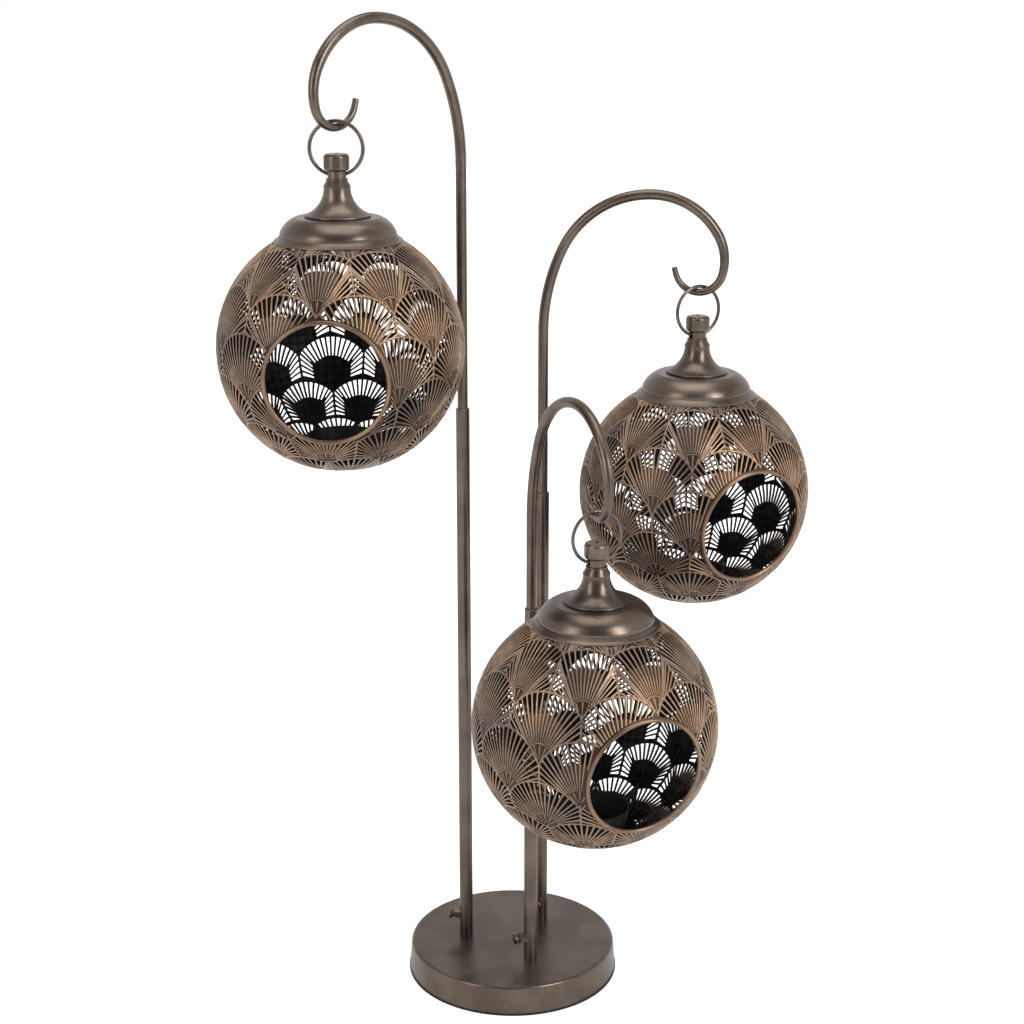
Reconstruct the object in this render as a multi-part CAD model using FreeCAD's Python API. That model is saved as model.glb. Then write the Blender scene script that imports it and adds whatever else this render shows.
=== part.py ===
import FreeCAD, Part
import math
import os
from FreeCAD import Placement, Rotation, Vector

# Candle holder: three hooked posts on one weighted base, each with a hanging pierced globe.
# Millimetres, +Z up, origin in the middle of the base's underside. The photographed front faces -Y.

# Base
base_height = 24.0
base_top_radius = 82.6
base_foot_radius = 84.2
base_edge_round = 2.4
cover_sheet = 1.4
pad_radius = 84.7
pad_thickness = 1.6
weight_side_gap = 0.8

# Post places on the base
post_circle_radius = 38.4
first_post_angle = 172.1
post_step_angle = -120.0

# Post tubes and the crooks that turn in them
crook_bar = 8.0
running_gap = 0.08
tube_wall = 1.22
tube_lip_chamfer = 0.35
crook_insertion = 60.0
seat_gap = 0.2
stop_height = 4.0
stop_bore = 5.2

# Studs that hold the posts to the base
spigot_length = 45.0
spigot_chamfer = 0.8
stud_diameter = 6.0
stud_hole_gap = 0.2
stud_end_spare = 2.0
stud_nut_flats = 10.0
stud_nut_height = 5.0
stud_washer_radius = 6.0
stud_washer_height = 1.6
nut_pocket_radius = 9.0
nut_pocket_height = 11.0

# Clamp nut and screw at each post's foot
clamp_height = 18.5
clamp_nut_flats = 8.0
clamp_nut_depth = 4.0
clamp_screw_diameter = 4.9
clamp_thread_gap = 0.05
clamp_hole_gap = 0.25
clamp_tip_gap = 0.3
clamp_neck_length = 1.8
clamp_head_radius = 4.2
clamp_head_length = 2.8
clamp_head_round = 0.6
clamp_slot_width = 1.1
clamp_slot_depth = 1.2

# Crook: a bar bent up, over and back into a hook, drawn thinner towards its tip
arch_first_radius = 150.0
arch_rise_radius = 74.0
arch_fall_radius = 58.0
hook_side_radius = 40.0
hook_radius = 18.0
hook_tip_straight = 5.5
hook_tip_diameter = 4.4
hook_tip_round = 0.7
arch_first_turn = 25.0
arch_rise_turn = 65.0
arch_fall_turn = 60.0
hook_side_turn = 45.0
hook_turn = 150.0

# Hanging ring
ring_outer_diameter = 40.0
ring_wire = 2.6
hang_gap = 0.4

# Globe
globe_radius = 88.5
globe_sheet = 0.9
globe_floor_drop = 85.0
mouth_half_angle = 29.0
mouth_dip_angle = 7.0
mouth_rim_wire = 3.0

# Fan windows of the globe
fans_round = 9
fan_row_latitudes = (42.1, 16.9, -5.4, -25.1, -42.7)
fan_arch_share = 0.93
fan_end_angle = 15.0
fan_tip_share = 0.76
fan_inner_share = 0.66
fan_least_share = 0.12
fan_rim_margin = 1.5

# Cap: dome with its brim on the globe, bell and turned finial
brim_radius = 45.5
dome_height = 17.2
dome_sheet = 1.0
dome_radius = 41.2
dome_outline_shares = ((0.55, 1.0), (0.733, 0.985), (0.922, 0.67), (1.0, 0.35), (1.0, 0.235))
brim_bead_radius = 41.6
brim_bead_height = 1.9
brim_lip = 1.0
bell_height = 20.8
ledge_radius = 23.5
ledge_height = 1.6
ledge_round = 0.7
bell_foot_share = 0.97
bell_waist_shares = (0.22, 0.44)
bell_top_radius = 9.5
bell_sheet = 1.2
collar_radius = 9.9
collar_top_radius = 7.4
collar_height = 4.4
bead_radius = 7.9
bead_height = 1.2
bead_round_share = 0.42
neck_radius = 6.6
neck_height = 5.2
knob_radius = 9.0
knob_height = 11.8
knob_round = 2.4
knob_pit_radius = 1.7
knob_pit_depth = 3.0

# Rod that holds cap and globe together
hanger_rod_diameter = 4.8
hanger_rod_gap = 0.1
hanger_rod_depth = 4.6
hanger_rod_spare = 1.5
hanger_washer_radius = 8.0
hanger_washer_height = 1.2
hanger_nut_flats = 8.0
hanger_nut_height = 4.0

# Candle cup
cup_floor_radius = 22.5
cup_mouth_radius = 26.0
cup_height = 20.5
cup_sheet = 1.0
rivet_radius = 1.6
rivet_hole_gap = 0.1
rivet_head_radius = 3.4
rivet_head_height = 1.4

# Each post: floor to top of crook, lower tube length, which way its arm and screw face,
# and how far its lantern is turned from its arm
tall_post_height = 764.0
mid_post_height = 633.5
short_post_height = 503.0
tall_tube_length = 445.0
mid_tube_length = 371.5
short_tube_length = 298.0
arm_angles = {"tall": 224.4, "mid": -8.4, "short": -67.9}
lantern_turns = {"tall": 132.6, "mid": 37.4, "short": 91.9}
screw_angles = {"tall": 180.0, "mid": 250.0, "short": 195.0}
post_heights = {"tall": tall_post_height, "mid": mid_post_height, "short": short_post_height}
tube_lengths = {"tall": tall_tube_length, "mid": mid_tube_length, "short": short_tube_length}

# Overrun of every cut
over = 3.0

# Sizes that follow from the ones above
bar_radius = crook_bar / 2
tube_bore_radius = bar_radius + running_gap
tube_radius = tube_bore_radius + tube_wall
ring_wire_radius = ring_wire / 2
ring_radius = ring_outer_diameter / 2 - ring_wire_radius
up = Vector(0, 0, 1)


def disc(radius, low, high):
    """A round bar about Z from one height to another."""
    return Part.makeCylinder(radius, high - low, Vector(0, 0, low))


def puck(radius, low, high, round_radius):
    """A round bar about Z with both its rims rounded."""
    body = disc(radius, low, high)
    rims = [e for e in body.Edges if isinstance(e.Curve, Part.Circle)]
    return body.makeFillet(round_radius, rims)


def hexagon(flats, low, high):
    """A hexagonal bar about Z, measured across its flats."""
    corner = flats / math.sqrt(3)
    turns = [math.radians(60 * k) for k in range(7)]
    wire = Part.makePolygon([Vector(corner * math.cos(t), corner * math.sin(t), low) for t in turns])
    return Part.Face(wire).extrude(Vector(0, 0, high - low))


def turned(edges):
    """A closed outline in the XZ plane turned about Z."""
    return Part.Face(Part.Wire(edges)).revolve(Vector(0, 0, 0), up, 360)


def at(r, z):
    """A point of a turned outline."""
    return Vector(r, 0, z)


def lines(points):
    """Straight edges through the points of an outline."""
    return [Part.makeLine(a, b) for a, b in zip(points, points[1:])]


def placed(shape, place):
    """A copy of a shape moved from its own frame to the part's."""
    copy = shape.copy()
    copy.Placement = place.multiply(copy.Placement)
    return copy


def turn_about_z(angle, x=0, y=0, z=0):
    """The place of something turned about the upright axis and then moved."""
    return Placement(Vector(x, y, z), Rotation(up, angle))


def save(shape, node):
    """Write one node's solid, or its group of solids."""
    if not shape.isValid():
        print("not valid:", node)
    shape.exportStep(f"parts/{node}.step")
    print(f"{node}: {len(shape.Solids)} solid, {shape.Volume:.0f} mm3")


# Base

def base_cover():
    """Pressed pan: a flat top, a rounded edge and a side that flares to the foot."""
    side = base_height - pad_thickness
    outer = Part.makeCone(base_foot_radius, base_top_radius, side, Vector(0, 0, pad_thickness))
    rim = [e for e in outer.Edges if isinstance(e.Curve, Part.Circle) and e.CenterOfMass.z > side]
    outer = outer.makeFillet(base_edge_round, rim)
    inner = Part.makeCone(
        base_foot_radius - cover_sheet, base_top_radius - cover_sheet, side - cover_sheet,
        Vector(0, 0, pad_thickness))
    hole = disc(stud_diameter / 2 + stud_hole_gap, base_height - cover_sheet - over, base_height + over)
    return outer.cut(inner).cut(at_posts(hole))


def base_weight():
    """Cast disc that fills the pan, with a pocket under each post for its nut."""
    inset = cover_sheet + weight_side_gap
    top = base_height - cover_sheet
    body = Part.makeCone(
        base_foot_radius - inset, base_top_radius - inset, top - pad_thickness, Vector(0, 0, pad_thickness))
    holes = at_posts(disc(stud_diameter / 2 + stud_hole_gap, pad_thickness, top + over))
    pockets = at_posts(disc(nut_pocket_radius, pad_thickness - over, pad_thickness + nut_pocket_height))
    return body.cut(holes).cut(pockets)


def foot_pad():
    """Thin pad under the whole base."""
    return disc(pad_radius, 0, pad_thickness)


def post_place(name, angle=0, z=0):
    """Where a post stands, with its pieces turned to face an angle."""
    turn = math.radians(first_post_angle + post_step_angle * list(arm_angles).index(name))
    return turn_about_z(angle, post_circle_radius * math.cos(turn), post_circle_radius * math.sin(turn), z)


def at_posts(shape):
    """The same piece at all three posts, as a group of separate solids."""
    return Part.makeCompound([placed(shape, post_place(name)) for name in arm_angles])


def spigot():
    """Round bar that stands in the post's tube, on a threaded stud that goes through the base."""
    top = base_height + spigot_length
    bar = disc(bar_radius, base_height, top)
    crown = [e for e in bar.Edges if isinstance(e.Curve, Part.Circle) and e.CenterOfMass.z > base_height]
    bar = bar.makeChamfer(spigot_chamfer, crown)
    seat = pad_thickness + nut_pocket_height
    stud_low = seat - stud_washer_height - stud_nut_height - stud_end_spare
    return bar.fuse(disc(stud_diameter / 2, stud_low, base_height)).removeSplitter()


def spigot_washer():
    """Washer against the roof of the nut pocket."""
    seat = pad_thickness + nut_pocket_height
    ring = disc(stud_washer_radius, seat - stud_washer_height, seat)
    return ring.cut(disc(stud_diameter / 2 + stud_hole_gap, seat - over, seat + over))


def spigot_nut():
    """Nut under the washer."""
    high = pad_thickness + nut_pocket_height - stud_washer_height
    low = high - stud_nut_height
    thread = disc(stud_diameter / 2 + clamp_thread_gap, low - over, high + over)
    return hexagon(stud_nut_flats, low, high).cut(thread)


# Posts

def lower_tube(name):
    """Tube over the spigot, with a stop inside that carries the crook and a hole for the clamp screw."""
    top = base_height + tube_lengths[name]
    body = disc(tube_radius, base_height, top)
    lip = [e for e in body.Edges if isinstance(e.Curve, Part.Circle) and e.CenterOfMass.z > base_height]
    body = body.makeChamfer(tube_lip_chamfer, lip)
    seat = top - crook_insertion
    body = body.cut(disc(tube_bore_radius, seat, top + over))
    body = body.cut(disc(tube_bore_radius, base_height - over, seat - stop_height))
    body = body.cut(disc(stop_bore / 2, seat - stop_height - over, seat + over))
    hole = clamp_bar(clamp_screw_diameter / 2 + clamp_hole_gap, 0, tube_radius + over)
    return body.cut(placed(hole, turn_about_z(screw_angles[name], z=base_height + clamp_height)))


def clamp_bar(radius, near, far):
    """A round bar along X, as the clamp screw lies in its post's own frame."""
    return Part.makeCylinder(radius, far - near, Vector(near, 0, 0), Vector(1, 0, 0))


def clamp_nut():
    """Hexagonal nut welded to the tube: its inner end is hollowed to sit on the round tube."""
    face = tube_radius + clamp_nut_depth
    body = hexagon(clamp_nut_flats, 0, face)
    body.rotate(Vector(0, 0, 0), Vector(0, 1, 0), 90)
    body = body.cut(clamp_bar(clamp_screw_diameter / 2 + clamp_thread_gap, 0, face + over))
    return body.cut(disc(tube_radius, -clamp_nut_flats, clamp_nut_flats))


def clamp_screw():
    """Screw that presses the spigot through the tube's wall, with a round slotted head."""
    head_low = tube_radius + clamp_nut_depth + clamp_neck_length
    head_high = head_low + clamp_head_length
    shank = clamp_bar(clamp_screw_diameter / 2, bar_radius + clamp_tip_gap, head_low)
    head = puck(clamp_head_radius, head_low, head_high, clamp_head_round)
    slot = Part.makeBox(
        clamp_slot_width, 2 * (clamp_head_radius + over), clamp_slot_depth + over,
        Vector(-clamp_slot_width / 2, -clamp_head_radius - over, head_high - clamp_slot_depth))
    head = head.cut(slot)
    head.rotate(Vector(0, 0, 0), Vector(0, 1, 0), 90)
    return shank.fuse(head).removeSplitter()


# Crooks

class Bend:
    """A bar's middle line in the XZ plane: where it has got to and which way it heads."""

    def __init__(self, z):
        self.point = Vector(0, 0, z)
        self.heading = 0.0

    def along(self):
        turn = math.radians(self.heading)
        return Vector(math.sin(turn), 0, math.cos(turn))

    def straight(self, length):
        start = self.point
        self.point = start + self.along() * length
        return Part.makeLine(start, self.point)

    def arc(self, radius, turn):
        side = Vector(self.along().z, 0, -self.along().x)
        centre = self.point + side * radius
        points = [self.point]
        for part in (turn / 2, turn):
            points.append(centre + Rotation(Vector(0, 1, 0), part).multVec(self.point - centre))
        self.point = points[2]
        self.heading += turn
        return Part.Arc(*points).toShape(), centre


def arch_reach():
    """How far the crook's highest point and its hook's lowest point lie from the post, and how high."""
    bend = Bend(0)
    bend.arc(arch_first_radius, arch_first_turn)
    bend.arc(arch_rise_radius, arch_rise_turn)
    top = Vector(bend.point)
    bend.arc(arch_fall_radius, arch_fall_turn)
    bend.arc(hook_side_radius, hook_side_turn)
    bend.arc(hook_radius, 270 - bend.heading)
    return top, bend.point


def bar_at_hook():
    """The bar's radius at the hook's lowest point, part way down its taper."""
    side = hook_side_radius * math.radians(hook_side_turn)
    before = 270 - arch_first_turn - arch_rise_turn - arch_fall_turn - hook_side_turn
    run = side + hook_radius * math.radians(before)
    whole = side + hook_radius * math.radians(hook_turn) + hook_tip_straight
    return bar_radius + (hook_tip_diameter / 2 - bar_radius) * run / whole


def crook(straight, foot):
    """Bar from its foot in the tube up over the arch, drawn down to the tip of the hook."""
    bend = Bend(foot)
    body = disc(bar_radius, foot, foot + straight)
    bend.straight(straight)
    for radius, turn in (
            (arch_first_radius, arch_first_turn), (arch_rise_radius, arch_rise_turn),
            (arch_fall_radius, arch_fall_turn)):
        section = Part.Face(Part.Wire(Part.makeCircle(bar_radius, bend.point, bend.along())))
        centre = bend.arc(radius, turn)[1]
        body = body.fuse(section.revolve(centre, Vector(0, 1, 0), turn))
    thick = Part.Wire(Part.makeCircle(bar_radius, bend.point, bend.along()))
    path = [bend.arc(hook_side_radius, hook_side_turn)[0], bend.arc(hook_radius, hook_turn)[0]]
    path.append(bend.straight(hook_tip_straight))
    thin = Part.Wire(Part.makeCircle(hook_tip_diameter / 2, bend.point, bend.along()))
    sweep = Part.BRepOffsetAPI.MakePipeShell(Part.Wire(path))
    sweep.setBiNormalMode(Vector(0, 1, 0))
    sweep.add(thick)
    sweep.add(thin)
    sweep.build()
    sweep.makeSolid()
    hook = Part.Solid(sweep.shape())
    tip = min(hook.Edges, key=lambda e: e.CenterOfMass.distanceToPoint(bend.point))
    return body.fuse(hook.makeFillet(hook_tip_round, [tip])).removeSplitter()


# Lantern, in its own frame: the globe's centre at the origin and its mouth towards -Y

def on_globe(radius):
    """Height of the globe's surface at a distance from the upright axis."""
    return math.sqrt(globe_radius ** 2 - radius ** 2)


brim_height = on_globe(brim_radius)
dome_top = brim_height + dome_height
bell_top = dome_top + bell_height
neck_low = bell_top + collar_height + bead_height
knob_low = neck_low + neck_height
ring_rise = ring_radius - math.sqrt(ring_radius ** 2 - neck_radius ** 2)
ring_hole_radius = (ring_wire + ring_rise) / 2 + hang_gap
ring_hole_height = (neck_low + knob_low) / 2
ring_low = ring_hole_height - ring_rise / 2
rod_hole_radius = hanger_rod_diameter / 2 + hanger_rod_gap
inner_radius = globe_radius - globe_sheet
floor_top = globe_sheet - globe_floor_drop
mouth_axis = Vector(
    0, -math.cos(math.radians(mouth_dip_angle)), -math.sin(math.radians(mouth_dip_angle)))
mouth_radius = globe_radius * math.sin(math.radians(mouth_half_angle))


def finial():
    """Turned tapered collar, bead, neck and knob. The ring goes through a cross hole in the neck."""
    collar = Part.makeCone(collar_radius, collar_top_radius, collar_height, Vector(0, 0, bell_top))
    bead_low = bell_top + collar_height
    bead = puck(bead_radius, bead_low, neck_low, bead_height * bead_round_share)
    knob = puck(knob_radius, knob_low, knob_low + knob_height, knob_round)
    body = disc(neck_radius, bell_top, knob_low + knob_round).fuse([collar, bead, knob])
    hole = Part.makeCylinder(
        ring_hole_radius, 2 * knob_radius, Vector(-knob_radius, 0, ring_hole_height), Vector(1, 0, 0))
    knob_top = knob_low + knob_height
    pit = disc(knob_pit_radius, knob_top - knob_pit_depth, knob_top + over)
    thread = disc(rod_hole_radius, bell_top - over, bell_top + hanger_rod_depth)
    return body.removeSplitter().cut(hole).cut(pit).cut(thread)


def bell():
    """Hollow bell with a hollow curve from its ledge up to the collar."""
    ledge_top = dome_top + ledge_height
    ledge = puck(ledge_radius, dome_top, ledge_top, ledge_round)
    foot = at(ledge_radius * bell_foot_share, ledge_top)
    waist = at(
        bell_top_radius + (foot.x - bell_top_radius) * bell_waist_shares[0],
        ledge_top + (bell_top - ledge_top) * bell_waist_shares[1])
    top = at(bell_top_radius, bell_top)
    curve = Part.Arc(foot, waist, top).toShape()
    flare = turned([curve] + lines([top, at(0, bell_top), at(0, ledge_top), foot]))
    roof = bell_top - bell_sheet
    inside = [at(foot.x - 2 * bell_sheet, dome_top), at(waist.x - bell_sheet, waist.z - bell_sheet),
              at(top.x - bell_sheet, roof)]
    hollow = turned([Part.Arc(*inside).toShape()] + lines([
        inside[2], at(0, roof), at(0, dome_top), inside[0]]))
    body = ledge.fuse(flare).removeSplitter().cut(hollow)
    return body.cut(disc(rod_hole_radius, roof - over, bell_top + over))


def dome():
    """Spun dome with a round shoulder, a bead and a brim that lies on the globe."""
    flat, cove, shoulder, side, foot = [
        at(dome_radius * r, brim_height + dome_height * z) for r, z in dome_outline_shares]
    lip_low = brim_height - brim_lip
    bead_end = brim_bead_radius + brim_bead_height
    points = [foot, at(brim_bead_radius, on_globe(brim_bead_radius) + brim_bead_height),
              at(bead_end, on_globe(bead_end) + brim_lip), at(brim_radius, brim_height + brim_lip),
              at(brim_radius, lip_low), at(0, lip_low), at(0, dome_top), flat]
    curve = [Part.makeLine(flat, cove), Part.Arc(cove, shoulder, side).toShape(), Part.makeLine(side, foot)]
    body = turned(lines(points) + curve)
    hollow = turned(lines([
        at(0, lip_low), at(foot.x - dome_sheet, lip_low), at(side.x - dome_sheet, side.z - dome_sheet),
        at(shoulder.x - dome_sheet, shoulder.z - dome_sheet), at(cove.x, cove.z - dome_sheet),
        at(flat.x, dome_top - dome_sheet), at(0, dome_top - dome_sheet), at(0, lip_low)]))
    body = body.cut(hollow).cut(Part.makeSphere(globe_radius))
    return body.cut(disc(rod_hole_radius, lip_low - over, dome_top + over))


def washer_top():
    """Height at which the washer's rim meets the globe's round ceiling."""
    return math.sqrt(inner_radius ** 2 - hanger_washer_radius ** 2)


def hanger_rod():
    """Threaded rod from inside the finial to the nut under the globe's crown."""
    low = washer_top() - hanger_washer_height - hanger_nut_height - hanger_rod_spare
    return disc(hanger_rod_diameter / 2, low, bell_top + hanger_rod_depth - hanger_rod_gap)


def hanger_washer():
    """Washer under the globe's crown."""
    high = washer_top()
    ring = disc(hanger_washer_radius, high - hanger_washer_height, high)
    return ring.cut(disc(rod_hole_radius, high - over, high + over))


def hanger_nut():
    """Nut that draws the globe up to the cap."""
    high = washer_top() - hanger_washer_height
    low = high - hanger_nut_height
    return hexagon(hanger_nut_flats, low, high).cut(disc(rod_hole_radius, low - over, high + over))


def mouth_rim():
    """Round rolled rim of the candle mouth."""
    centre = mouth_axis * (globe_radius * math.cos(math.radians(mouth_half_angle)))
    return Part.makeTorus(mouth_radius, mouth_rim_wire / 2, centre, mouth_axis)


def fan_window(radius):
    """Crescent of a fan, between its arch and the same arch drawn in towards its tip, as a cutter.

    In its own frame the fan lies across Z with its tip towards -Y, at the globe's surface.
    """
    tip = Vector(0, -fan_tip_share * radius, 0)
    ends = [math.radians(a) for a in (fan_end_angle, 90, 180 - fan_end_angle)]
    arch = [Vector(math.cos(a), math.sin(a), 0) * (fan_arch_share * radius) for a in ends]
    drawn_in = [tip + (p - tip) * fan_inner_share for p in arch]
    edges = [Part.Arc(*arch).toShape(), Part.makeLine(arch[2], drawn_in[2]),
             Part.Arc(*reversed(drawn_in)).toShape(), Part.makeLine(drawn_in[0], arch[0])]
    face = Part.Face(Part.Wire(edges))
    face.translate(Vector(0, 0, math.sqrt(inner_radius ** 2 - (2 * radius) ** 2)))
    return face.extrude(Vector(0, 0, globe_radius))


def fan_windows():
    """Staggered rows of fan windows.

    Those beside the mouth end short of its rim, or are left out if little of them would be left.
    """
    keep_out = Part.makeCylinder(
        mouth_radius + mouth_rim_wire / 2 + fan_rim_margin, globe_radius + over, Vector(0, 0, 0), mouth_axis)
    cutters = []
    for row, latitude in enumerate(fan_row_latitudes):
        tilt = math.radians(latitude)
        window = fan_window(math.pi * globe_radius * math.cos(tilt) / fans_round)
        for k in range(fans_round):
            turn = math.radians((k + row % 2 / 2) * 360 / fans_round - 90)
            out = Vector(math.cos(tilt) * math.cos(turn), math.cos(tilt) * math.sin(turn), math.sin(tilt))
            east = Vector(-math.sin(turn), math.cos(turn), 0)
            place = Placement(Vector(0, 0, 0), Rotation(east, out.cross(east), out, "ZXY"))
            cutter = placed(window, place).cut(keep_out)
            if cutter.Volume > fan_least_share * window.Volume:
                cutters.append(cutter)
    return cutters


def globe():
    """Pierced ball of thin sheet with a flat floor, a hole for the rod and a round candle mouth."""
    roof = globe_radius + over
    outer = Part.makeSphere(globe_radius).cut(disc(globe_radius, -roof, -globe_floor_drop))
    inner = Part.makeSphere(inner_radius).cut(disc(globe_radius, -roof, floor_top))
    mouth = Part.makeCylinder(mouth_radius, roof, Vector(0, 0, 0), mouth_axis)
    body = outer.cut(inner).cut(mouth.fuse(mouth_rim()))
    body = body.cut(disc(rod_hole_radius, 0, roof))
    body = body.cut(disc(rivet_radius + rivet_hole_gap, -roof, 0))
    return body.cut(Part.makeCompound(fan_windows()))


def candle_cup():
    """Shallow flared dish on the globe's floor."""
    outer = Part.makeCone(cup_floor_radius, cup_mouth_radius, cup_height, Vector(0, 0, floor_top))
    inner = Part.makeCone(
        cup_floor_radius - cup_sheet, cup_mouth_radius - cup_sheet, cup_height - cup_sheet,
        Vector(0, 0, floor_top + cup_sheet))
    return outer.cut(inner).cut(disc(rivet_radius + rivet_hole_gap, floor_top - over, floor_top + over))


def cup_rivet():
    """Rivet through the cup's floor and the globe's floor."""
    low = -globe_floor_drop
    high = floor_top + cup_sheet
    top_head = disc(rivet_head_radius, high, high + rivet_head_height)
    low_head = disc(rivet_head_radius, low - rivet_head_height, low)
    return disc(rivet_radius, low, high).fuse([top_head, low_head]).removeSplitter()


def hanging_ring():
    """Wire ring through the finial's neck, hung on the hook."""
    centre = Vector(0, 0, ring_low + ring_radius)
    return Part.makeTorus(ring_radius, ring_wire_radius, centre, Vector(0, 1, 0))


os.makedirs("parts", exist_ok=True)
save(base_cover(), "base_cover")
save(base_weight(), "base_weight")
save(foot_pad(), "foot_pad")
save(at_posts(spigot()), "spigots")
save(at_posts(spigot_washer()), "spigot_washers")
save(at_posts(spigot_nut()), "spigot_nuts")

lantern_pieces = {
    "hanging_ring": hanging_ring(), "finial": finial(), "bell": bell(), "dome": dome(),
    "hanger_rod": hanger_rod(), "hanger_washer": hanger_washer(), "hanger_nut": hanger_nut(),
    "globe": globe(), "mouth_rim": mouth_rim(), "candle_cup": candle_cup(), "cup_rivet": cup_rivet()}
arch_top, hook_low = arch_reach()

for name in arm_angles:
    save(placed(lower_tube(name), post_place(name)), f"{name}_lower_tube")
    clamp_place = post_place(name, screw_angles[name], base_height + clamp_height)
    save(placed(clamp_nut(), clamp_place), f"{name}_clamp_nut")
    save(placed(clamp_screw(), clamp_place), f"{name}_clamp_screw")

    bend_start = post_heights[name] - bar_radius - arch_top.z
    crook_foot = base_height + tube_lengths[name] - crook_insertion + seat_gap
    arm_place = post_place(name, arm_angles[name])
    save(placed(crook(bend_start - crook_foot, crook_foot), arm_place), f"{name}_crook")

    hook = arm_place.multVec(Vector(hook_low.x, 0, bend_start + hook_low.z))
    ring_top = hook.z + bar_at_hook() + hang_gap + ring_wire_radius
    globe_centre = ring_top - 2 * ring_radius - ring_low
    lantern_place = turn_about_z(arm_angles[name] + lantern_turns[name], hook.x, hook.y, globe_centre)
    for piece, shape in lantern_pieces.items():
        save(placed(shape, lantern_place), f"{name}_{piece}")
    print(f"{name} hook {hook.x:.2f} {hook.y:.2f} {hook.z:.2f}")
    print(f"{name} ring foot {globe_centre + ring_low:.2f}, globe {globe_centre:.2f}")
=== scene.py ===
# %% [markdown]
# # A candle holder with three hanging globes
# Three bronze posts stand on a heavy round base. Each one ends in a hook, and a
# pierced copper globe hangs from it on a wire ring. The solids come from the
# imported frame, and this lesson gives them finishes, builds the pierced globes and
# sets the light and the camera.

# %% Load the frame
import math

import bmesh
import bpy
import numpy as np
from mathutils import Matrix, Vector


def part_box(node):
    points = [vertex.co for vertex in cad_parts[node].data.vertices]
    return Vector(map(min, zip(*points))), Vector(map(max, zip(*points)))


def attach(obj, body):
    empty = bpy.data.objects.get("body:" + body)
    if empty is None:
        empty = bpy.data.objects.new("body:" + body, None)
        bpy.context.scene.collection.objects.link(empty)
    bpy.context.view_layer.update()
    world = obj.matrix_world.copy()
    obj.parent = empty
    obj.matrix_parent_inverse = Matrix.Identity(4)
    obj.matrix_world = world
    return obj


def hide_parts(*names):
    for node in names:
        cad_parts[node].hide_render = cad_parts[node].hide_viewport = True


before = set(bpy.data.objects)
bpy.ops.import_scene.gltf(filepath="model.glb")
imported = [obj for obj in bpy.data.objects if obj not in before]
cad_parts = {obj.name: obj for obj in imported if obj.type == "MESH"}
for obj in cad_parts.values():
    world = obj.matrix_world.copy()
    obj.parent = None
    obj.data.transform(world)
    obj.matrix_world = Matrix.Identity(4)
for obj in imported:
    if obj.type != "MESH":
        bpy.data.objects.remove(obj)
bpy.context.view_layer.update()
posts = ("tall", "mid", "short")
mm = 0.001

# %% [markdown]
# ## The camera
# The photograph was taken from a little above the middle globe, with a long lens.
# A camera could be aimed by eye. Here the feet of the posts, the rims of the globes
# and the edges of the base were measured in the picture, and the place, the tilt and
# the lens are what those measures ask for.

# %% Camera
camera_place = (-0.00043, -1.44444, 0.81039)
camera_dip = 16.3
camera_data = bpy.data.cameras.new("camera")
camera_data.sensor_width = 36.0
camera_data.lens = 68.55
camera = bpy.data.objects.new("camera", camera_data)
camera.location = camera_place
camera.rotation_euler = (math.radians(90.0 - camera_dip), 0.0, 0.0)
bpy.context.scene.collection.objects.link(camera)
bpy.context.scene.camera = camera
bpy.context.scene.view_settings.view_transform = "Standard"
print("camera at", tuple(round(v, 3) for v in camera.location))

# %% [markdown]
# ## Shader sums
# A finish is a small graph of nodes. Adding each node by hand hides what it works
# out, so one class wraps a socket: sums of wrapped sockets add Math nodes, and one
# method adds any other node from its type, its settings and its inputs.

# %% Wire, a socket that can be added and multiplied
class Wire:
    def __init__(self, tree, socket=None):
        self.tree = tree
        self.socket = socket

    def add(self, kind, settings=(), inputs=(), out=0):
        node = self.tree.nodes.new(kind)
        for name, value in dict(settings).items():
            setattr(node, name, value)
        for key, value in dict(inputs).items():
            if isinstance(value, Wire):
                self.tree.links.new(value.socket, node.inputs[key])
            else:
                node.inputs[key].default_value = value
        return Wire(self.tree, node.outputs[out])

    def math(self, operation, *values):
        return self.add("ShaderNodeMath", {"operation": operation}, enumerate(values))

    def __add__(self, other):
        return self.math("ADD", self, other)

    def __sub__(self, other):
        return self.math("SUBTRACT", self, other)

    def __rsub__(self, other):
        return self.math("SUBTRACT", other, self)

    def __mul__(self, other):
        return self.math("MULTIPLY", self, other)

    __radd__ = __add__
    __rmul__ = __mul__

    def length(self):
        return self.add("ShaderNodeVectorMath", {"operation": "LENGTH"}, {0: self}, out=1)

    def between(self, low, high):
        return self.add("ShaderNodeMapRange", {"interpolation_type": "SMOOTHSTEP"},
                        {"Value": self, "From Min": low, "From Max": high})

    def mix(self, first, second):
        return self.add("ShaderNodeMix", {"data_type": "RGBA"}, {0: self, 6: first, 7: second}, out=2)


print("a wire can be added, multiplied, ramped and mixed")

# %% [markdown]
# ## Starting a finish
# Every finish starts the same way: a Principled shader with its fixed values, and the
# place on the piece in metres, which does not slide when the piece moves. Noise gives
# the clouds and the grain, and a bump node turns grain into small dents.

# %% Helpers for finishes
def rgb(red, green, blue):
    return (red, green, blue, 1.0)


def new_finish(name, **fixed):
    finish = bpy.data.materials.new(name)
    finish.use_nodes = True
    shader = finish.node_tree.nodes["Principled BSDF"]
    for key, value in fixed.items():
        shader.inputs[key.replace("_", " ")].default_value = value
    place = Wire(finish.node_tree).add("ShaderNodeTexCoord", out=3)
    return finish, shader, place


def feed(shader, **wires):
    for key, wire in wires.items():
        wire.tree.links.new(wire.socket, shader.inputs[key.replace("_", " ")])


def cloud(place, scale, detail):
    inputs = {"Vector": place, "Scale": scale, "Detail": detail, "Roughness": 0.55}
    return place.add("ShaderNodeTexNoise", inputs=inputs)


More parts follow.
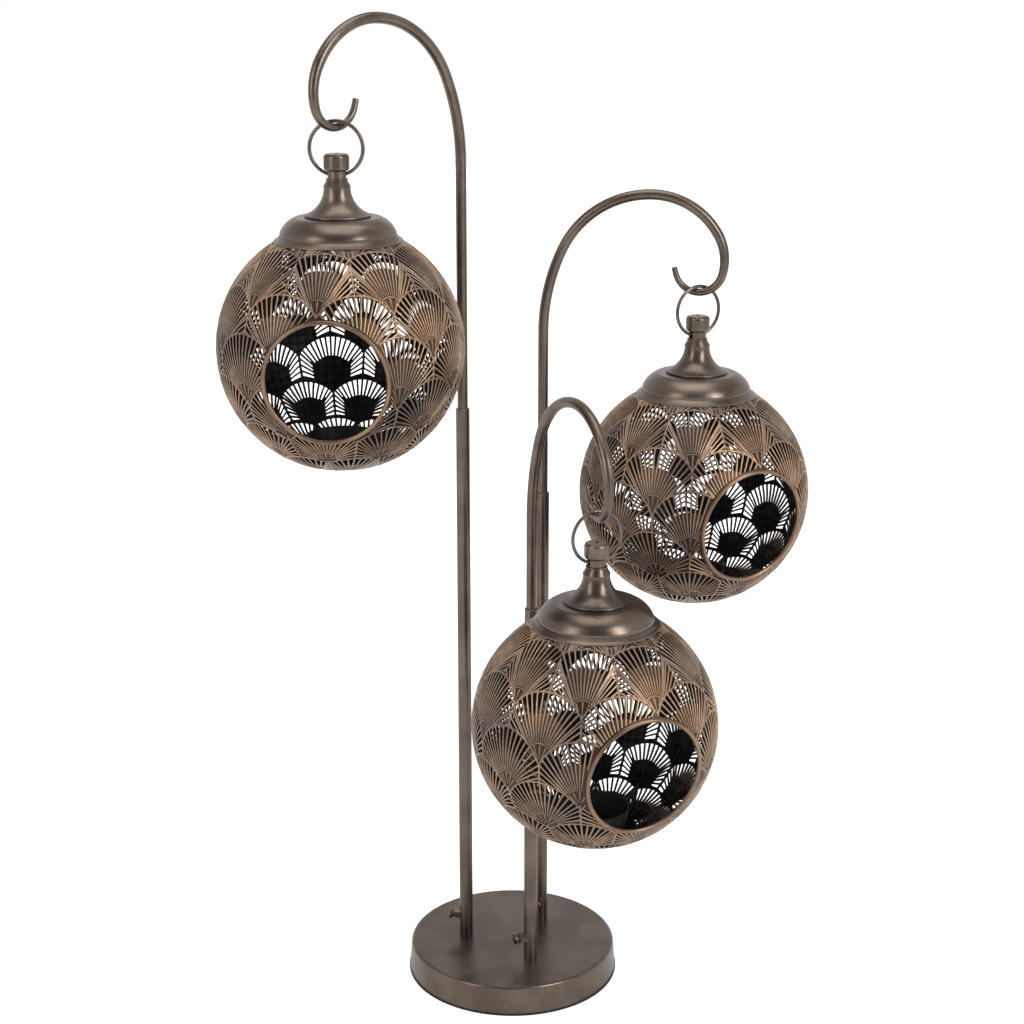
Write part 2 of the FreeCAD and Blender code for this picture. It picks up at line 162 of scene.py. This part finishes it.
def dents(height, distance, strength):
    inputs = {"Height": height, "Distance": distance, "Strength": strength}
    return height.add("ShaderNodeBump", inputs=inputs)


print("helpers for finishes ready")

# %% [markdown]
# ## The bronze finish
# The posts, the caps and the base have a dark brown antique coat over metal: brown in
# the shade, paler where it is rubbed. One flat colour would look like plastic, so it is
# a satin metal whose colour drifts in soft clouds, with a fine grain in the roughness
# so that long highlights break up a little.

# %% Bronze
patch_scale = 28.0
grain_scale = 700.0
patch_share = 0.7
dent_depth = 0.0002


def make_coat(name, deep, pale, metallic, rough):
    finish, shader, place = new_finish(name, Metallic=metallic)
    patches = cloud(place, patch_scale, 4.0).between(0.35, 0.68)
    grain = cloud(place, grain_scale, 2.0)
    tint = (patches * patch_share + grain.between(0.3, 0.8) * (1.0 - patch_share)).mix(deep, pale)
    feed(shader, Base_Color=tint, Roughness=rough + patches * 0.06 + grain * 0.12,
         Normal=dents(grain, dent_depth, 0.12))
    return finish


bronze = make_coat("antique_bronze", rgb(0.092, 0.071, 0.057), rgb(0.170, 0.134, 0.107), 0.88, 0.23)
print("made", bronze.name)

# %% [markdown]
# ## The pierced copper finish
# A globe is copper brown outside and black inside. The ribs stand proud, and the
# ground between them stays dark. Their crowns are paler and golden: partly rubbed
# wear, and partly a painted sheen for the light that the ribs catch. Three materials
# on chosen faces could do that. All of it follows the distance from the middle of the
# globe, though, so one finish reads the length of the place on the piece, whose origin
# is the middle of its globe. The radii are in millimetres.

# %% Pierced copper
shell_outside = 87.9
shell_inside = 87.0
rib_crown = 88.45


def make_pierced_copper(name):
    finish, shader, place = new_finish(name, Metallic=0.85)
    radius = place.length()
    outside = radius.between((shell_inside + 0.2) * mm, (shell_outside - 0.1) * mm)
    crown = radius.between((shell_outside + 0.02) * mm, (rib_crown - 0.15) * mm)
    inner_crown = radius.between((shell_inside - 0.05) * mm, (shell_inside - 0.25) * mm)
    patches = cloud(place, 18.0, 3.0).between(0.36, 0.66)
    grain = cloud(place, 500.0, 2.0)
    ground = patches.mix(rgb(0.046, 0.029, 0.021), rgb(0.070, 0.039, 0.024))
    # crown colour, paler than the ground: partly rubbed wear, partly a painted sheen
    rubbed_and_sheen_crowns = patches.mix(rgb(0.200, 0.150, 0.118), rgb(0.350, 0.230, 0.145))
    skin = crown.mix(ground, rubbed_and_sheen_crowns)
    # the inside: near black, paler on the inner ridges
    inner_colour = inner_crown.mix(rgb(0.008, 0.007, 0.007), rgb(0.120, 0.105, 0.095))
    feed(shader, Base_Color=outside.mix(inner_colour, skin), Roughness=0.36 + grain * 0.15 - crown * 0.10)
    return finish


pierced_copper = make_pierced_copper("pierced_copper")
print("made", pierced_copper.name)

# %% [markdown]
# ## The other finishes
# The rolled rim of each mouth is a paler, redder copper. The cup and the rod inside
# are black, the foot pad is dark felt, and the hidden weight and its fasteners are
# bare metal. They differ from the bronze in colour and shine only, so the same function
# makes them.

# %% Rim copper, black, steel, casting and felt
rim_copper = make_coat("rim_copper", rgb(0.130, 0.082, 0.054), rgb(0.270, 0.175, 0.112), 0.85, 0.26)
black_paint = make_coat("black_paint", rgb(0.010, 0.009, 0.009), rgb(0.022, 0.020, 0.018), 0.0, 0.45)
bare_steel = make_coat("bare_steel", rgb(0.400, 0.390, 0.370), rgb(0.560, 0.550, 0.540), 1.0, 0.25)
casting = make_coat("rough_casting", rgb(0.060, 0.058, 0.056), rgb(0.110, 0.108, 0.105), 0.3, 0.6)
felt = make_coat("foot_felt", rgb(0.010, 0.010, 0.010), rgb(0.020, 0.019, 0.018), 0.0, 0.8)
finish_of_slot = {"bronze": bronze, "copper_brown": bronze, "copper_rim": rim_copper, "black": black_paint,
                  "bare_steel": bare_steel, "cast_weight": casting, "pad": felt}
print("finishes for", len(finish_of_slot), "slots")

# %% [markdown]
# ## Finishes on the solids
# The base, the posts, the rings, the caps and the cups keep the shapes that the frame
# gives them. Each of their material slots has a name, and that name picks the finish.
# The three globes are left out, because the pieces built below stand for them.

# %% Finishes on the solids of the frame
globe_nodes = [post + "_globe" for post in posts]
dressed = [node for name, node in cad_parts.items() if name not in globe_nodes]
for node in dressed:
    for place in node.material_slots:
        slot_name = place.material.name if place.material else ""
        place.material = finish_of_slot.get(slot_name.split(".")[0], bronze)
print("finished", len(dressed), "solids")

# %% [markdown]
# ## The fan pattern
# The globes are covered with overlapping fans, row above row, like scales. Each fan
# has an arch on top, a point at the bottom where the arches of the next row meet, and
# ribs that run from the point to the arch. The outer part between the ribs is cut
# right through. Drawing it flat and bending it round would stretch it, so each fan is
# worked out on a chart of the ball: a point is a step round the axis and a height above
# the middle of the globe, both in degrees. Each row has the height of the tops of its
# arches and their reach, which changes a little from the front to the back.

# %% Rows and columns of fans
columns = 10
half_step = 180.0 / columns
step_widen = 1.07
row_tops = (78.0, 57.0, 34.0, 14.0, -7.5, -29.0, -50.0, -71.0)
front_reach = (19.5, 19.5, 20.5, 21.0, 18.8, 20.0, 20.0, 19.5)
back_reach = (19.5, 19.5, 20.0, 19.4, 26.0, 22.0, 20.0, 19.5)
globe_radius = 88.5
mm_per_degree = globe_radius * math.pi / 180.0


def shrink(height):
    return step_widen * np.cos(np.radians(height))


def backness(step):
    return 0.5 - 0.5 * np.cos(np.radians(step))


def run_along(points):
    steps = np.linalg.norm(np.diff(points, axis=0), axis=1)
    return np.concatenate(((0.0,), np.cumsum(steps)))


print("fans in each ring:", columns, "rows:", len(row_tops) - 1)

# %% [markdown]
# ## One fan
# A fan knows its own arch and the arches of the row below, which cover its sides. Its
# rays start at the point and end at even steps along the arch and the sides, like the
# sticks of a paper fan, and they bow a little outwards. The room of a point is how far
# it lies inside the part of the fan that shows, in millimetres.

# %% Fan
spoke_pitch = 4.75
ray_bow = 0.10


def arc_points(reach, level, turns):
    return reach * np.stack((np.sin(turns), np.cos(turns)), axis=1) + (0.0, level)


class Fan:
    def __init__(self, row, step):
        self.step = step
        self.reach, self.level = self.arch(row)
        self.low_reach, self.low_level = self.arch(row + 1)
        self.tip = self.meeting(self.low_level, self.low_reach)
        self.ends = self.spaced_ends(row_tops[row + 1])

    def arch(self, row):
        reach = front_reach[row] + backness(self.step) * (back_reach[row] - front_reach[row])
        return reach, row_tops[row] - reach

    def meeting(self, level, reach):
        gap = half_step * shrink(level)
        return level + math.sqrt(max(reach ** 2 - gap ** 2, 0.0))

    def spaced_ends(self, bottom):
        meet = self.meeting(self.level, self.reach)
        lean = math.acos(min(max((meet - self.level) / self.reach, -1.0), 1.0))
        arch = arc_points(self.reach, self.level, np.linspace(0.0, lean, 60))
        heights = np.linspace(meet, min(bottom, meet) - 0.5, 30)
        side = np.stack((half_step * shrink(heights), heights), axis=1)
        line = np.concatenate((arch, side))
        run = run_along(line)
        stops = np.arange(0.0, run[-1], spoke_pitch / mm_per_degree)
        right = np.stack([np.interp(stops, run, line[:, axis]) for axis in (0, 1)], axis=1)
        return np.concatenate((right[:0:-1] * (-1.0, 1.0), right))

    def room(self, points):
        step, height = points[:, 0], points[:, 1]

        def inside(middle, level, reach):
            across = np.abs(step - middle) * shrink(height)
            return reach - np.where(height > level, np.hypot(across, height - level), across)

        own = inside(self.step, self.level, self.reach)
        below = np.maximum(inside(self.step - half_step, self.low_level, self.low_reach),
                           inside(self.step + half_step, self.low_level, self.low_reach))
        sides = (half_step - np.abs(step - self.step)) * shrink(height)
        return np.minimum(np.minimum(own, -below), sides) * mm_per_degree

    def on_chart(self, points):
        return np.stack((self.step + points[:, 0] / shrink(points[:, 1]), points[:, 1]), axis=1)

    def ray(self, end, shares):
        start = np.array((0.0, self.tip))
        way = np.asarray(end) - start
        bow = ray_bow * np.array((-math.copysign(way[1], way[0]), abs(way[0]))) * abs(way[0])
        bow = bow / max(np.linalg.norm(way), 0.01)
        s = np.asarray(shares)[:, None]
        return self.on_chart(start + s * way + s * (1.0 - s) * bow)


print("a fan of the fourth row has", len(Fan(3, 0.0).ends), "rays")

# %% [markdown]
# ## From the chart to the ball
# On the real globes the fans are a little wider beside the mouth and sit a little
# higher at the back. Both are small waves in the step, so they belong to the chart and
# not to each fan. A ball turns points of the chart into points in space, and measures
# how many degrees a point lies from the middle of the mouth. Each globe hangs turned
# its own way, and its fans start at their own phase beside the mouth.

# %% Ball
mouth_spread = 4.0
back_rise = 2.2
mouth_half_angle = 29.0
mouth_dip = 7.0
turn_of = {"tall": -3.0, "mid": 29.0, "short": 24.0}
phase_of = {"tall": -3.5, "mid": 3.0, "short": 5.5}


def directions(turn, height):
    return np.stack((np.cos(height) * np.cos(turn), np.cos(height) * np.sin(turn), np.sin(height)), axis=-1)


class Ball:
    def __init__(self, post):
        self.turn = turn_of[post] - 90.0
        self.phase = phase_of[post]
        self.axis = directions(math.radians(self.turn), math.radians(-mouth_dip))

    def at(self, points, radius):
        step, height = points[..., 0], points[..., 1]
        turn = np.radians(self.turn + self.phase + step + mouth_spread * np.sin(np.radians(step)))
        return directions(turn, np.radians(height + back_rise * backness(step))) * radius

    def from_mouth(self, points):
        return np.degrees(np.arccos(np.clip(self.at(points, 1.0) @ self.axis, -1.0, 1.0)))


balls = {post: Ball(post) for post in posts}
print("mouths look along", {post: ball.axis.round(2).tolist() for post, ball in balls.items()})

# %% [markdown]
# ## Slots of a fan
# A slot is the strip between two neighbouring rays, less the width of the spokes. It
# starts a little inside the arch or the side of the fan and is as long as the punch
# that made it. It also stops short of the mouth, of the brim and of the floor. Both of
# its edges are sampled, and only the part with room around it is kept, so a fan that
# is half hidden by its neighbours comes out right. A sliver that would cross itself is
# left out, because no boolean can cut with it.

# %% Room for a slot
slot_length = 14.2
arch_margin = 0.95
mouth_margin = 2.2
brim_height = 60.5
floor_height = -71.5


def open_room(ball, fan, points, margin):
    height = points[:, 1]
    room = fan.room(points) - margin
    room = np.minimum(room, (ball.from_mouth(points) - mouth_half_angle) * mm_per_degree - mouth_margin)
    return np.minimum(room, np.minimum(brim_height - height, height - floor_height) * mm_per_degree)


def kept_span(room):
    good = np.flatnonzero(room > 0.0)
    if len(good) == 0:
        return 0, 0
    breaks = np.flatnonzero(np.diff(good) > 1)
    starts = np.concatenate(((0,), breaks + 1))
    ends = np.concatenate((breaks, (len(good) - 1,)))
    longest = np.argmax(ends - starts)
    return good[starts[longest]], good[ends[longest]]


def slot_side(ball, fan, edge, wide):
    first, last = kept_span(np.where(wide, open_room(ball, fan, edge, arch_margin), -1.0))
    run = run_along(ball.at(edge, globe_radius))
    first = max(first, int(np.argmax(run > run[last] - slot_length)))
    side = edge[np.linspace(first, last, 3).round().astype(int)]
    return side, run[last] - run[first]


print("a slot is at most", slot_length, "mm long")

# %% Slots
slot_shares = np.linspace(0.60, 1.0, 81)
spoke_width = 1.55
least_width = 0.5
least_run = 2.0
fold_limit = 0.6


def unfolded(left, right):
    rise, fall = right[1:] - left[:-1], left[1:] - right[:-1]
    return np.all(rise[:, 0] * fall[:, 1] - rise[:, 1] * fall[:, 0] > fold_limit)


def gap_between(ball, first, second):
    return np.linalg.norm(ball.at(second, globe_radius) - ball.at(first, globe_radius), axis=1)


def fan_slots(ball, fan):
    rays = [fan.ray(end, slot_shares) for end in fan.ends]
    outlines = []
    for first, second in zip(rays, rays[1:]):
        width = gap_between(ball, first, second)
        trim = (0.5 * spoke_width / np.maximum(width, 0.01))[:, None]
        wide = width > spoke_width + least_width
        left, left_run = slot_side(ball, fan, first + trim * (second - first), wide)
        right, right_run = slot_side(ball, fan, second - trim * (second - first), wide)
        if min(left_run, right_run) > least_run and unfolded(left, right):
            outlines.append(np.concatenate((left, right[::-1])))
    return outlines


print("a fan at the back has", len(fan_slots(balls["tall"], Fan(3, 180.0))), "slots")

# %% [markdown]
# ## Ridges
# The pattern on the real sheet is pressed, so every line of it stands up outside and
# shows as a low ridge inside. A bump map could draw the lines, but they would vanish at
# the edge of the globe and in the meshes. Each line becomes two strips with sloping
# sides instead, which follow it over the ball and sink a little into the shell.

# %% Ridge
rib_height = rib_crown - shell_outside
rib_root = 0.25
inner_rib_height = 0.3
shoulder_height = 0.6
shoulder_width = 0.9
crown_width = 0.5


def ridge(ball, line, widths, heights):
    way = ball.at(line, 1.0)
    across = np.cross(way, np.gradient(way, axis=0))
    across /= np.linalg.norm(across, axis=1)[:, None]
    half = 0.5 * widths[:, None] * across
    rise = heights[:, None]
    lifts = (-rib_root, shoulder_height * rise, rise)
    root, shoulder, crown = (way * (shell_outside + lift) for lift in lifts)
    outer = (root - half, shoulder - shoulder_width * half, crown - crown_width * half,
             crown + crown_width * half, shoulder + shoulder_width * half, root + half)
    root, crown = way * (shell_inside + rib_root), way * (shell_inside - inner_rib_height)
    inner = (root + half, crown, root - half)
    return np.stack(outer, axis=1), np.stack(inner, axis=1)


def tube_faces(count, sides, start):
    faces = [tuple(start + j for j in reversed(range(sides))),
             tuple(start + (count - 1) * sides + j for j in range(sides))]
    for i in range(count - 1):
        for j in range(sides):
            a, b = start + i * sides + j, start + i * sides + (j + 1) % sides
            faces.append((a, b, b + sides, a + sides))
    return faces


def even_rib(line, width, height):
    return line, np.full(len(line), width), np.full(len(line), height)


print("rib height", round(rib_height, 2), "mm")

# %% [markdown]
# ## Ribs of a fan
# Every ray of a fan is a rib, from near the point to the arch. Closer to the point they
# would run into each other, so on the real sheet a small second arch gathers them and
# only five go on below it. A rib is as wide as the gap to its neighbour allows, and has
# one more piece for each eleven millimetres, so that it follows the ball.

# %% Ribs along the rays
ray_shares = np.linspace(0.04, 1.0, 97)
rib_from = 0.32
bundle_shares = np.linspace(0.14, 0.86, 5)
bundle_from, bundle_to = 0.08, 0.28
bundle_gap = 3
small_arch_at, small_arch_width, small_arch_height = 0.30, 0.9, 0.45
rib_width = 1.3
rib_fill = 0.55
rib_steepness = 0.6
rib_piece = 11.0
least_samples = 8


def picked(span, count):
    return np.unique(np.linspace(span[0], span[1], count).round().astype(int))


def ray_rib(ball, fan, ray, beside, kept):
    span = kept_span(np.where(kept, open_room(ball, fan, ray, 0.0), -1.0))
    if span[1] - span[0] < least_samples:
        return []
    run = run_along(ball.at(ray[list(span)], globe_radius))[-1]
    index = picked(span, 2 + int(run / rib_piece))
    widths = np.minimum(rib_width, rib_fill * gap_between(ball, ray, beside)[index])
    return [(ray[index], widths, np.minimum(rib_height, rib_steepness * widths))]


def fan_ribs(ball, fan):
    rays = [fan.ray(end, ray_shares) for end in fan.ends]
    bundle = (bundle_shares * (len(rays) - 1)).round().astype(int)
    ribs = []
    for i, ray in enumerate(rays):
        ribs += ray_rib(ball, fan, ray, rays[i - 1] if i else rays[1], ray_shares >= rib_from)
    in_bundle = (ray_shares >= bundle_from) & (ray_shares <= bundle_to)
    for i in bundle:
        beside = i + bundle_gap if i < len(rays) - bundle_gap else i - bundle_gap
        ribs += ray_rib(ball, fan, rays[i], rays[beside], in_bundle)
    ends = fan.ends[bundle[0]:bundle[-1] + 1]
    arc = np.concatenate([fan.ray(end, (small_arch_at,)) for end in ends])
    arc = arc[open_room(ball, fan, arc, 0.0) > 0.0]
    if len(arc) > 4:
        ribs.append(even_rib(arc, small_arch_width, small_arch_height))
    return ribs


print("ribs at the back of a globe:", len(fan_ribs(balls["tall"], Fan(3, 180.0))), "in a fan")

# %% [markdown]
# ## Arches and sides
# The edge of each fan is a line of its own. The arch follows the top of the fan as far
# as it shows, and a short upright line stands between two neighbours, from where their
# arches meet down to the arch of the fan below.

# %% Ribs along the edges
arch_width = 1.1
arch_overlap = 0.4
arch_corners = 17
side_width = 1.2
side_overlap = 0.6
side_corners = 9
mouth_clear = 1.4


def arch_rib(ball, fan):
    turns = np.radians(np.linspace(-90.0, 90.0, 61))
    line = fan.on_chart(arc_points(fan.reach, fan.level, turns))
    span = kept_span(open_room(ball, fan, line, -arch_overlap))
    if span[1] - span[0] < 5:
        return []
    return [even_rib(line[picked(span, arch_corners)], arch_width, rib_height)]


def side_rib(ball, fan):
    top = fan.meeting(fan.level, fan.reach) + side_overlap
    bottom = fan.low_level + fan.low_reach
    heights = np.linspace(bottom, top, side_corners)
    line = np.stack((np.full(side_corners, fan.step + half_step), heights), axis=1)
    clear = ball.from_mouth(line) > mouth_half_angle + mouth_clear
    line = line[clear & (heights < brim_height) & (heights > floor_height)]
    if top - bottom < 1.0 or len(line) < 3:
        return []
    return [even_rib(line, side_width, rib_height)]


print("arches", arch_width, "mm wide, sides", side_width, "mm")

# %% [markdown]
# ## The shell
# The real globe is a thin pressed ball with a flat floor. A ball with a thickness
# modifier would do, but its floor would need flattening, so the shell is a profile
# turned round the axis, with an outside and an inside. It is a closed solid, which a
# boolean can cut cleanly. Corners are in millimetres about the middle of the globe.

# %% Shell
shell_sides = 80
shell_rings = 40
floor_drop = 85.0
floor_sheet = 0.9
floor_rings = (0.6, 0.2)
rod_hole = 2.6


def mesh_from(name, corners, faces):
    mesh = bpy.data.meshes.new(name)
    mesh.from_pydata(np.asarray(corners, dtype=float) * mm, [], faces)
    mesh.update()
    return mesh


def shell_profile(radius, drop):
    turns = np.linspace(math.acos(rod_hole / radius), -math.asin(drop / radius), shell_rings)
    arc = [(radius * math.cos(turn), radius * math.sin(turn)) for turn in turns]
    return arc + [(arc[-1][0] * share, -drop) for share in floor_rings]


def turned_shell():
    outer = shell_profile(shell_outside, floor_drop)
    inner = shell_profile(shell_inside, floor_drop - floor_sheet)
    profile = outer[::-1] + inner
    turns = np.linspace(0.0, 2 * math.pi, shell_sides, endpoint=False)
    corners = [(r * math.cos(t), r * math.sin(t), z) for r, z in profile for t in turns]
    corners += [(0.0, 0.0, -floor_drop), (0.0, 0.0, floor_sheet - floor_drop)]
    last = (len(profile) - 1) * shell_sides
    faces = []
    for j in range(shell_sides):
        k = (j + 1) % shell_sides
        for i in range(len(profile) - 1):
            a, b = i * shell_sides, (i + 1) * shell_sides
            faces.append((a + j, a + k, b + k, b + j))
        faces.append((k, j, len(corners) - 2))
        faces.append((last + j, last + k, len(corners) - 1))
    return mesh_from("shell", corners, faces)


print("shell of", len(turned_shell().polygons), "faces")

# %% [markdown]
# ## Piercing
# On the real sheet a punch makes the slots. Deleting faces would leave ragged edges, so
# the mouth and all the slots of a globe are gathered into one mesh of cutters, each a
# prism that goes right through the shell. A single boolean takes them away, and every
# slot is a clean hole with real walls.

# %% Cutters
cutter_margin = 1.6
mouth_sides = 96
mouth_cut_from, mouth_cut_to = 60.0, 100.0


def prism(outer, inner, start):
    count = len(outer)
    faces = [tuple(start + i for i in range(count)),
             tuple(start + count + i for i in reversed(range(count)))]
    for i in range(count):
        k = (i + 1) % count
        faces.append((start + k, start + i, start + count + i, start + count + k))
    return list(outer) + list(inner), faces


def mouth_rings(ball):
    side = np.cross(ball.axis, (0.0, 0.0, 1.0))
    side /= np.linalg.norm(side)
    up = np.cross(side, ball.axis)
    reach = globe_radius * math.sin(math.radians(mouth_half_angle))
    turns = np.linspace(0.0, 2 * math.pi, mouth_sides, endpoint=False)
    ring = (np.outer(np.cos(turns), side) + np.outer(np.sin(turns), up)) * reach
    return ring + ball.axis * mouth_cut_to, ring + ball.axis * mouth_cut_from


def cutters(ball, outlines):
    radii = (shell_outside + cutter_margin, shell_inside - cutter_margin)
    pairs = [[ball.at(line, radius) for radius in radii] for line in outlines]
    corners, faces = [], []
    for outer, inner in pairs + [mouth_rings(ball)]:
        more, sides = prism(outer, inner, len(corners))
        corners.extend(more)
        faces.extend(sides)
    return mesh_from("cutters", corners, faces)


print("cutters for the mouths of", mouth_sides, "sides")

# %% Pierced shell
def facing_out(mesh):
    shape = bmesh.new()
    shape.from_mesh(mesh)
    bmesh.ops.recalc_face_normals(shape, faces=shape.faces)
    shape.to_mesh(mesh)
    shape.free()
    work = bpy.data.objects.new("work", mesh)
    bpy.context.scene.collection.objects.link(work)
    return work


def pierced_shell(ball, outlines):
    shell, cutter = facing_out(turned_shell()), facing_out(cutters(ball, outlines))
    cut = shell.modifiers.new("pierce", "BOOLEAN")
    cut.operation, cut.solver, cut.object = "DIFFERENCE", "MANIFOLD", cutter
    ready = shell.evaluated_get(bpy.context.evaluated_depsgraph_get())
    mesh = bpy.data.meshes.new_from_object(ready)
    for work in (shell, cutter):
        bpy.data.objects.remove(work)
    return mesh


print("shells can be pierced")

# %% [markdown]
# ## The finished globes
# A globe is its pierced shell and all its ribs in one mesh. It hangs under its finial
# and stands on its floor, so both boxes of the frame give its middle. It rides on the
# lantern that carries it, and it replaces the plain ball of the frame.

# %% Helpers for the globes
sharp_angle = 50.0


def globe_middle(post):
    low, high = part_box(post + "_finial")
    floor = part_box(post + "_globe")[0][2]
    return Vector(((low[0] + high[0]) / 2, (low[1] + high[1]) / 2, floor + floor_drop * mm))


def joined(name, first, second):
    shape = bmesh.new()
    shape.from_mesh(first)
    shape.from_mesh(second)
    mesh = bpy.data.meshes.new(name)
    shape.to_mesh(mesh)
    shape.free()
    return mesh


def hang_globe(post, mesh):
    globe = bpy.data.objects.new(mesh.name, mesh)
    bpy.context.scene.collection.objects.link(globe)
    mesh.materials.append(pierced_copper)
    mesh.shade_smooth()
    mesh.set_sharp_from_angle(angle=math.radians(sharp_angle))
    globe.matrix_world = Matrix.Translation(globe_middle(post))
    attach(globe, post + "_lantern")
    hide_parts(post + "_globe")


for post in posts:
    print(post, "globe middle", [round(v, 4) for v in globe_middle(post)])

# %% Finished globes
def build_globe(post):
    ball, outlines, ribs = balls[post], [], []
    for row in range(len(row_tops) - 1):
        for column in range(columns):
            fan = Fan(row, 2 * half_step * column + half_step * ((row + 1) % 2))
            outlines += fan_slots(ball, fan)
            ribs += fan_ribs(ball, fan) + arch_rib(ball, fan) + side_rib(ball, fan)
    corners, faces = [], []
    for line, widths, heights in ribs:
        for strip in ridge(ball, line, widths, heights):
            faces.extend(tube_faces(len(strip), strip.shape[1], len(corners)))
            corners.extend(strip.reshape(-1, 3))
    name = post + "_pierced_globe"
    mesh = joined(name, pierced_shell(ball, outlines), mesh_from("ribs", corners, faces))
    hang_globe(post, mesh)
    print(name, len(outlines), "slots", len(ribs), "ribs", len(mesh.polygons), "faces")


for post in posts:
    build_globe(post)

# %% [markdown]
# ## Lamps
# A product photograph like this is lit by large soft boxes. One bare lamp would give
# hard dots on the metal, so there is a tall soft lamp on each side, the right one the
# stronger, and a wide one overhead.

# %% Lamps
lamp_target = (0.0, 0.0, 0.4)


def soft_lamp(name, place, size, power):
    data = bpy.data.lights.new(name, "AREA")
    data.shape = "RECTANGLE"
    data.size, data.size_y = size
    data.energy = power
    lamp = bpy.data.objects.new(name, data)
    lamp.location = place
    lamp.rotation_euler = (Vector(lamp_target) - Vector(place)).to_track_quat("-Z", "Y").to_euler()
    bpy.context.scene.collection.objects.link(lamp)
    return lamp


lamps = [soft_lamp("left_lamp", (-1.3, -1.2, 1.1), (0.6, 1.4), 13.0),
         soft_lamp("right_lamp", (1.2, -1.2, 1.2), (0.5, 1.2), 22.0),
         soft_lamp("top_lamp", (0.0, -0.1, 1.9), (1.2, 1.2), 12.0)]
print("lamps:", [lamp.name for lamp in lamps])

# %% [markdown]
# ## The floor
# The picture has a white sweep with a faint shadow under the base. A lit white floor
# would come out grey further off, so the floor glows as well: fully from about a metre
# away, and half as much near the base, where the shadow has to show. Only the camera
# sees the whole glow. Reflections see less of it, and the lighting sees none.

# %% Floor
floor_size = 6.0
shadow_from, shadow_to = 0.3, 1.2
floor_mirrored = 0.6


def ray_kinds(tree):
    node = tree.nodes.new("ShaderNodeLightPath")
    return {socket.name: Wire(tree, socket) for socket in node.outputs}


reach = floor_size / mm
corners = [(-reach, -reach, 0.0), (reach, -reach, 0.0), (reach, reach, 0.0), (-reach, reach, 0.0)]
floor_mesh = mesh_from("floor", corners, [(0, 1, 2, 3)])
floor = bpy.data.objects.new("floor", floor_mesh)
bpy.context.scene.collection.objects.link(floor)
paper, shader, spot = new_finish("white_paper", Base_Color=rgb(0.85, 0.85, 0.85), Roughness=0.9,
                                 Emission_Strength=1.0)
rays = ray_kinds(paper.node_tree)
sight = spot.math("MAXIMUM", rays["Is Camera Ray"], floor_mirrored * rays["Is Glossy Ray"])
feed(shader, Emission_Color=sight * (0.5 + 0.5 * spot.length().between(shadow_from, shadow_to)))
floor_mesh.materials.append(paper)
print("floor of", 2 * floor_size, "m")

# %% [markdown]
# ## The room
# The camera sees a plain white room. If the metal mirrored the same white on every
# side, it would look pale and flat, so reflections see a room that is dim towards the
# front and above. What is left lights the shaded sides a little.

# %% World
fill_light = 0.45
front_light = 0.22
dimmed_above = 0.5
world = bpy.data.worlds.new("white_room")
bpy.context.scene.world = world
world.use_nodes = True
air = world.node_tree.nodes["Background"]
air.inputs["Color"].default_value = rgb(1.0, 1.0, 1.0)
rays = ray_kinds(world.node_tree)
eye, mirrored = rays["Is Camera Ray"], rays["Is Glossy Ray"]
way = eye.add("ShaderNodeTexCoord")
depth = way.add("ShaderNodeSeparateXYZ", inputs={0: way}, out=1)
height = way.add("ShaderNodeSeparateXYZ", inputs={0: way}, out=2)
sweep = front_light + (1.0 - front_light) * depth.between(-0.7, 0.2)
sweep = sweep * (1.0 - dimmed_above * height.between(0.2, 0.8))
unseen = fill_light + mirrored * (sweep - fill_light)
feed(air, Strength=(1.0 - eye) * unseen + eye)
print("room light", fill_light, "and", front_light, "in reflections of the front")
